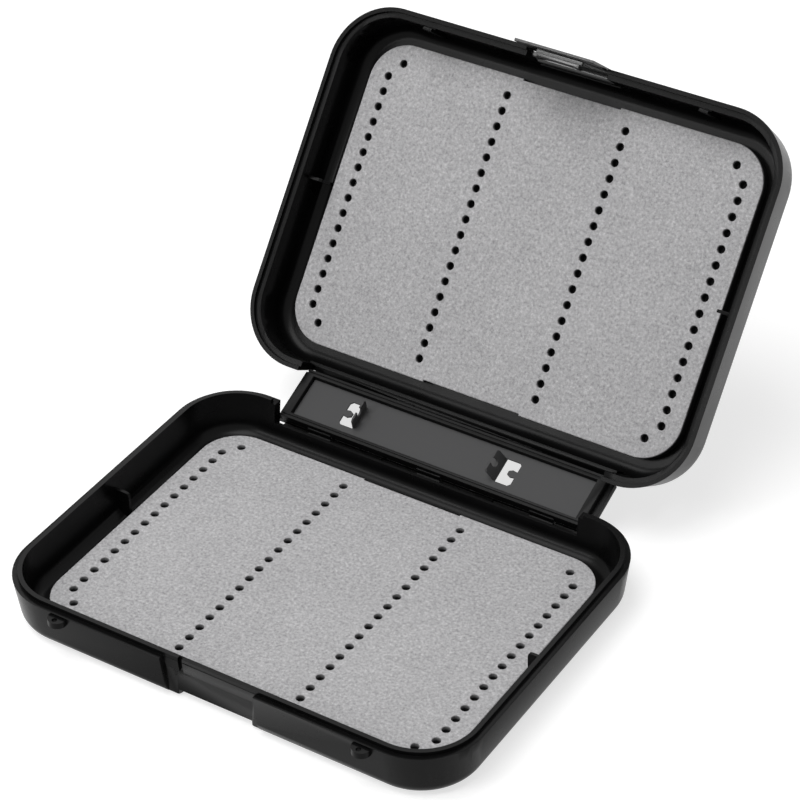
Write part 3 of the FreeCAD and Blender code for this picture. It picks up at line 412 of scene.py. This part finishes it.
def pad_outline(half_length, half_width, inset):
    """The pad's outline, anticlockwise: round corners, and a shallow step in each long edge."""
    points = []
    radius = PAD_CORNER_RADIUS - inset
    centre_x, centre_y = half_length - PAD_CORNER_RADIUS, half_width - PAD_CORNER_RADIUS
    for quarter, (sign_x, sign_y) in enumerate([(1, -1), (1, 1), (-1, 1), (-1, -1)]):
        for step in range(CORNER_STEPS + 1):
            angle = math.radians(-90 + 90 * quarter + 90 * step / CORNER_STEPS)
            points.append((
                sign_x * centre_x + radius * math.cos(angle),
                sign_y * centre_y + radius * math.sin(angle),
            ))
        if quarter % 2:
            # The step in this long edge, walked in the direction of travel
            edge = sign_y * (half_width - inset)
            stepped = sign_y * (half_width - PAD_NOTCH_DEPTH - inset)
            near, far = sign_x * PAD_NOTCH_HALF_LENGTH, -sign_x * PAD_NOTCH_HALF_LENGTH
            points += [(near, edge), (near, stepped), (far, stepped), (far, edge)]
    return points


def pad_sides(name, half_length, half_width, low, high):
    """The pad's side all round, with a softly cut upper edge and open above and below."""
    rings = [(0.0, low)]
    for step in range(EDGE_STEPS + 1):
        angle = math.pi / 2 * step / EDGE_STEPS
        inset = PAD_SOFT_EDGE * (1 - math.cos(angle))
        rings.append((inset, high - PAD_SOFT_EDGE * (1 - math.sin(angle))))
    work = bmesh.new()
    layers = []
    for inset, height in rings:
        outline = pad_outline(half_length, half_width, inset)
        layers.append([work.verts.new((x, y, height)) for x, y in outline])
    count = len(layers[0])
    for lower, upper in zip(layers, layers[1:]):
        for k in range(count):
            after = (k + 1) % count
            work.faces.new((lower[k], lower[after], upper[after], upper[k]))
    mesh = bpy.data.meshes.new(name)
    work.to_mesh(mesh)
    work.free()
    piece = bpy.data.objects.new(name, mesh)
    bpy.context.scene.collection.objects.link(piece)
    return piece


class GeometryTree:
    """A Geometry Nodes tree with named inputs, built by one method."""

    def __init__(self, name):
        self.group = bpy.data.node_groups.new(name, "GeometryNodeTree")
        self.group.is_modifier = True
        self.identifiers = {}
        self.add_socket("Geometry", "NodeSocketGeometry")
        self.group.interface.new_socket("Geometry", in_out="OUTPUT", socket_type="NodeSocketGeometry")

    def add_socket(self, name, kind):
        made = self.group.interface.new_socket(name, in_out="INPUT", socket_type=kind)
        self.identifiers[name] = made.identifier

    def start(self):
        """To be called once all inputs have been added."""
        self.inputs = self.group.nodes.new("NodeGroupInput")

    def given(self, name):
        """The tree's own input of that name."""
        return self.inputs.outputs[name]

    def node(self, kind, settings=None, values=None, output=0):
        made = self.group.nodes.new(kind)
        for key, value in (settings or {}).items():
            setattr(made, key, value)
        for key, value in (values or {}).items():
            sources = value if isinstance(value, list) else [value]
            for source in sources:
                if isinstance(source, bpy.types.NodeSocket):
                    self.group.links.new(source, made.inputs[key])
                else:
                    made.inputs[key].default_value = source
        return made.outputs[output] if made.outputs else made

    def maths(self, operation, first, second=0.0):
        return self.node("ShaderNodeMath", {"operation": operation}, {0: first, 1: second})

    def halfway(self, first, second):
        return self.maths("MULTIPLY", self.maths("ADD", first, second), 0.5)

    def parts_of(self, vector):
        """The three coordinates of a vector."""
        made = self.group.nodes.new("ShaderNodeSeparateXYZ")
        self.group.links.new(vector, made.inputs[0])
        return made.outputs

    def raised(self, geometry, height):
        """The geometry lifted by that height."""
        lift = self.node("ShaderNodeCombineXYZ", {}, {"Z": height})
        return self.node("GeometryNodeTransform", {}, {"Geometry": geometry, "Translation": lift})


def perforation_tree():
    """Closes the pad's side with two faces, and joins them by rows of hook holes with soft rims."""
    tree = GeometryTree("hook_holes")
    for name in ("Row span", "Row length", "Hole radius", "Rim width", "Bottom", "Top", "End shift"):
        tree.add_socket(name, "NodeSocketFloat")
    for name in ("Rows", "Holes in a row", "Hole sides"):
        tree.add_socket(name, "NodeSocketInt")
    tree.add_socket("Foam", "NodeSocketMaterial")
    tree.start()
    grid = tree.node("GeometryNodeMeshGrid", {}, {
        "Size X": tree.given("Row span"), "Size Y": tree.given("Row length"),
        "Vertices X": tree.given("Rows"), "Vertices Y": tree.given("Holes in a row"),
    })
    # The end holes of the two outer rows stand further in
    x, y, z = tree.parts_of(tree.node("GeometryNodeInputPosition"))
    outer_from = tree.maths("MULTIPLY", tree.given("Row span"), END_SHARE)
    outer = tree.maths("GREATER_THAN", tree.maths("ABSOLUTE", x), outer_from)
    last_from = tree.maths("MULTIPLY", tree.given("Row length"), END_SHARE)
    last = tree.maths("GREATER_THAN", tree.maths("ABSOLUTE", y), last_from)
    against_sign = tree.maths("MULTIPLY", tree.maths("SIGN", x), -1.0)
    inwards = tree.maths("MULTIPLY", against_sign, tree.given("End shift"))
    shift = tree.maths("MULTIPLY", tree.maths("MULTIPLY", outer, last), inwards)
    spots = tree.node("GeometryNodeSetPosition", {}, {
        "Geometry": grid, "Offset": tree.node("ShaderNodeCombineXYZ", {}, {"X": shift}),
    })
    # Both faces: the side's open edge round the outside, and a ring at each hole
    faces_beside = tree.node("GeometryNodeInputMeshEdgeNeighbors")
    open_edge = tree.maths("LESS_THAN", faces_beside, OPEN_EDGE_LIMIT)
    middle = tree.halfway(tree.given("Bottom"), tree.given("Top"))
    rim_radius = tree.maths("ADD", tree.given("Hole radius"), tree.given("Rim width"))
    caps = []
    for is_top in (True, False):
        half = tree.maths("GREATER_THAN" if is_top else "LESS_THAN", z, middle)
        border = tree.node("GeometryNodeMeshToCurve", {}, {
            "Mesh": tree.given("Geometry"), "Selection": tree.maths("MULTIPLY", open_edge, half),
        })
        ring = tree.node("GeometryNodeCurvePrimitiveCircle", {}, {
            "Resolution": tree.given("Hole sides"),
            "Radius": rim_radius if is_top else tree.given("Hole radius"),
        })
        rings = tree.node("GeometryNodeInstanceOnPoints", {}, {"Points": spots, "Instance": ring})
        curves = tree.node("GeometryNodeJoinGeometry", {}, {
            "Geometry": [border, tree.node("GeometryNodeRealizeInstances", {}, {"Geometry": rings})],
        })
        face = tree.node("GeometryNodeFillCurve", {}, {"Curve": curves})
        if not is_top:
            face = tree.node("GeometryNodeFlipFaces", {}, {"Mesh": face})
        height = tree.given("Top" if is_top else "Bottom")
        caps.append(tree.raised(face, height))
    # The hole itself: a short cone for the rim above a straight shaft, seen from inside
    shaft_top = tree.maths("SUBTRACT", tree.given("Top"), tree.given("Rim width"))
    cone = tree.node("GeometryNodeMeshCone", {"fill_type": "NONE"}, {
        "Vertices": tree.given("Hole sides"), "Radius Top": rim_radius,
        "Radius Bottom": tree.given("Hole radius"), "Depth": tree.given("Rim width"),
    })
    shaft = tree.node("GeometryNodeMeshCylinder", {"fill_type": "NONE"}, {
        "Vertices": tree.given("Hole sides"), "Radius": tree.given("Hole radius"),
        "Depth": tree.maths("SUBTRACT", shaft_top, tree.given("Bottom")),
    })
    shaft_middle = tree.halfway(shaft_top, tree.given("Bottom"))
    lining = tree.node("GeometryNodeJoinGeometry", {}, {
        "Geometry": [tree.raised(cone, shaft_top), tree.raised(shaft, shaft_middle)],
    })
    inside = tree.node("GeometryNodeFlipFaces", {}, {"Mesh": lining})
    linings = tree.node("GeometryNodeInstanceOnPoints", {}, {"Points": spots, "Instance": inside})
    whole = tree.node("GeometryNodeJoinGeometry", {}, {"Geometry": [tree.given("Geometry"), *caps, linings]})
    real = tree.node("GeometryNodeRealizeInstances", {}, {"Geometry": whole})
    joined = tree.node("GeometryNodeMergeByDistance", {}, {"Geometry": real, "Distance": WELD_DISTANCE})
    dressed = tree.node("GeometryNodeSetMaterial", {}, {"Geometry": joined, "Material": tree.given("Foam")})
    result = tree.group.nodes.new("NodeGroupOutput")
    tree.group.links.new(dressed, result.inputs[0])
    return tree


hook_holes = perforation_tree()


def local_box(node_name, place):
    """Lowest and highest corner of a CAD node in a tray's own frame."""
    back = place.inverted()
    points = [back @ vertex.co for vertex in frame["nodes"][node_name].data.vertices]
    low = Vector(min(point[k] for point in points) for k in range(3))
    high = Vector(max(point[k] for point in points) for k in range(3))
    return low, high


def foam_pad(name, node_name, body, place):
    """A perforated foam pad in place of its plain CAD solid."""
    low, high = local_box(node_name, place)
    half_length, half_width = high.x, high.y
    piece = pad_sides(name + "_work", half_length, half_width, low.z, high.z)
    modifier = piece.modifiers.new("holes", "NODES")
    modifier.node_group = hook_holes.group
    given = {
        "Row span": 2 * (half_length - HOLE_MARGIN), "Row length": 2 * (half_width - HOLE_MARGIN),
        "Hole radius": HOLE_RADIUS, "Rim width": HOLE_RIM_WIDTH, "Bottom": low.z, "Top": high.z,
        "End shift": HOLE_END_SHIFT, "Rows": HOLE_ROWS, "Holes in a row": HOLES_IN_ROW,
        "Hole sides": HOLE_SIDES, "Foam": closed_cell_foam(name + "_skin", place, high.z),
    }
    for key, value in given.items():
        modifier[hook_holes.identifiers[key]] = value
    finished = plain_mesh(piece, name)
    smooth_by_angle(finished.data, SOFT_ANGLE)
    # The two level faces stay flat, so that their light is even
    for face in finished.data.polygons:
        face.use_smooth = abs(face.normal.z) < LEVEL_SHARE
    finished.data.transform(place)
    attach(finished, body)
    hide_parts(node_name)


softened("base_shell", "base_tray", TRAY_EDGE, tray_plastic, "base")
softened("lid_shell", "lid_tray", TRAY_EDGE, tray_plastic, "lid")
softened("hinge_spine", "spine_frame", SPINE_EDGE, spine_plastic, "spine")
softened("latch_lever", "latch", LATCH_EDGE, latch_plastic, "latch")
softened("clip_plate", "clip_sheet", SHEET_EDGE, sheet_metal, "spine")
foam_pad("base_foam", "base_foam_pad", "base", base_frame)
foam_pad("lid_foam", "lid_foam_pad", "lid", lid_frame)
for node_name in ("base_hinge_pin", "lid_hinge_pin", "latch_pin"):
    node = frame["nodes"][node_name]
    paint(node, wire_steel)
for node_name in ("base_pad_adhesive", "lid_pad_adhesive"):
    node = frame["nodes"][node_name]
    paint(node, tape)


def seen_directly(tree):
    """1 for what the camera sees, straight or in metal and glass, and 0 for the light on the box."""
    rays = [tree.node("ShaderNodeLightPath", output=name) for name in SEEING_RAYS]
    return rays[0] + rays[1] + rays[2]


def pale_floor():
    """A wide pale floor; the camera sees it a little brighter, and it keeps the box's shadow."""
    bpy.ops.mesh.primitive_plane_add(size=FLOOR_SIZE, location=(0, 0, 0))
    floor = bpy.context.object
    floor.name = "floor"
    material = bpy.data.materials.new("pale_floor")
    tree = ShaderTree(material)
    matt = tree.node("ShaderNodeBsdfDiffuse", {}, {"Color": FLOOR_COLOUR})
    strength = seen_directly(tree) * FLOOR_GLOW
    glow = tree.node("ShaderNodeEmission", {}, {"Color": WHITE, "Strength": strength})
    both = tree.node("ShaderNodeAddShader", {}, {0: matt, 1: glow})
    tree.node("ShaderNodeOutputMaterial", {}, {"Surface": both})
    paint(floor, material)


def soft_box(name, place, aim, width, height, power):
    """A rectangular studio light that faces its aim."""
    data = bpy.data.lights.new(name, "AREA")
    data.shape = "RECTANGLE"
    data.size, data.size_y = width, height
    data.energy = power
    lamp = bpy.data.objects.new(name, data)
    bpy.context.scene.collection.objects.link(lamp)
    lamp.location = place
    lamp.rotation_euler = (Vector(aim) - Vector(place)).to_track_quat("-Z", "Y").to_euler()


def studio_world(level):
    """An even white room: its light is soft, and the camera sees it as white."""
    world = bpy.data.worlds.new("studio")
    bpy.context.scene.world = world
    tree = ShaderTree(world)
    strength = seen_directly(tree) * (1.0 - level) + level
    light = tree.node("ShaderNodeBackground", {}, {"Color": WHITE, "Strength": strength})
    tree.node("ShaderNodeOutputWorld", {}, {"Surface": light})


pale_floor()
studio_world(ROOM_LEVEL)
for name, (place, aim, width, height, power) in LAMPS.items():
    soft_box(name, place, aim, width, height, power)

camera_data = bpy.data.cameras.new("camera")
camera_data.sensor_width = SENSOR
camera_data.lens = LENS
camera_data.clip_start = CAMERA_NEAR
camera_data.clip_end = CAMERA_FAR
camera = bpy.data.objects.new("camera", camera_data)
bpy.context.scene.collection.objects.link(camera)
forward = CAMERA_FORWARD.normalized()
right = (CAMERA_RIGHT - forward * CAMERA_RIGHT.dot(forward)).normalized()
up = right.cross(forward)
turn = Matrix((right, up, -forward)).transposed().to_4x4()
camera.matrix_world = Matrix.Translation(CAMERA_PLACE) @ turn
bpy.context.scene.camera = camera
bpy.context.scene.view_settings.view_transform = "Standard"

bpy.context.view_layer.update()
